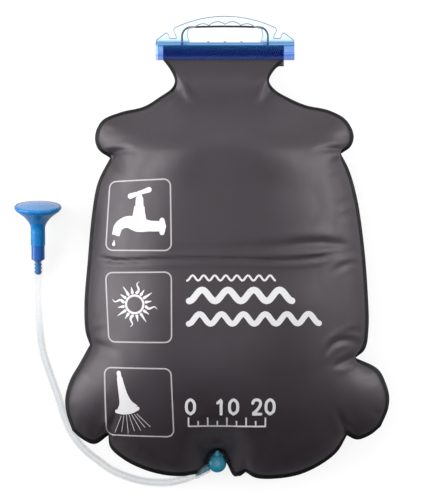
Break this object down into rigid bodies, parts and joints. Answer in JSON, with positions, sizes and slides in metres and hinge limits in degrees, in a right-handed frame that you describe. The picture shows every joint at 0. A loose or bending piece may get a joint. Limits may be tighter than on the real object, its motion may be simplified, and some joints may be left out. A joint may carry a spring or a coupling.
{
  "type": "camp shower bag",
  "caption": "Filled film camp shower bag with a folded mouth in a clamp rail, clear finger-grip hanger, bottom outlet, hose and pull-to-open shower head.",
  "frame": {"origin": "on the flat underside of the back film, where the bag rests, near the middle of the bag", "axes": "+Z out of the front film, +Y from the bag to its hanger, +X to the right when looking at the front"},
  "size_m": [0.4849, 0.6102, 0.1301],
  "materials": {
    "film": "semi-gloss black film with soft creases",
    "rail": "translucent blue moulding",
    "clear": "clear moulding with a blue tint",
    "wire": "dark drawn wire",
    "rod": "plain dark rod",
    "outlet": "teal blue moulding",
    "hose": "clear soft tube",
    "head": "bright blue moulding",
    "collar": "darker blue moulding",
    "seal": "soft black rubber"
  },
  "bodies": {
    "bag": {"front_panel": "film", "back_panel": "film", "fold_rod": "rod", "outlet_spout": "outlet", "outlet_washer": "seal", "outlet_elbow": "outlet", "hose": "hose", "valve_stem": "outlet", "stem_o_ring": "seal", "valve_seal": "seal"},
    "rail": {"clamp_rail": "rail", "hanger_handle": "clear"},
    "bail": {"wire_bail": "wire"},
    "head": {"shower_head_body": "head", "valve_collar": "collar", "spray_plate": "head"}
  },
  "joints": [
    {"name": "rail_slide", "type": "slide", "parent": "bag", "child": "rail", "axis": [-1, 0, 0], "range_m": [0, 0.18]},
    {"name": "bail_hinge", "type": "hinge", "parent": "rail", "child": "bail", "pos_m": [0, 0.3016, 0.0353], "axis": [-1, 0, 0], "range_deg": [0, 100]},
    {"name": "head_pull", "type": "slide", "parent": "bag", "child": "head", "axis": [0.0135, 0.9702, 0.2419], "range_m": [0, 0.008]}
  ]
}
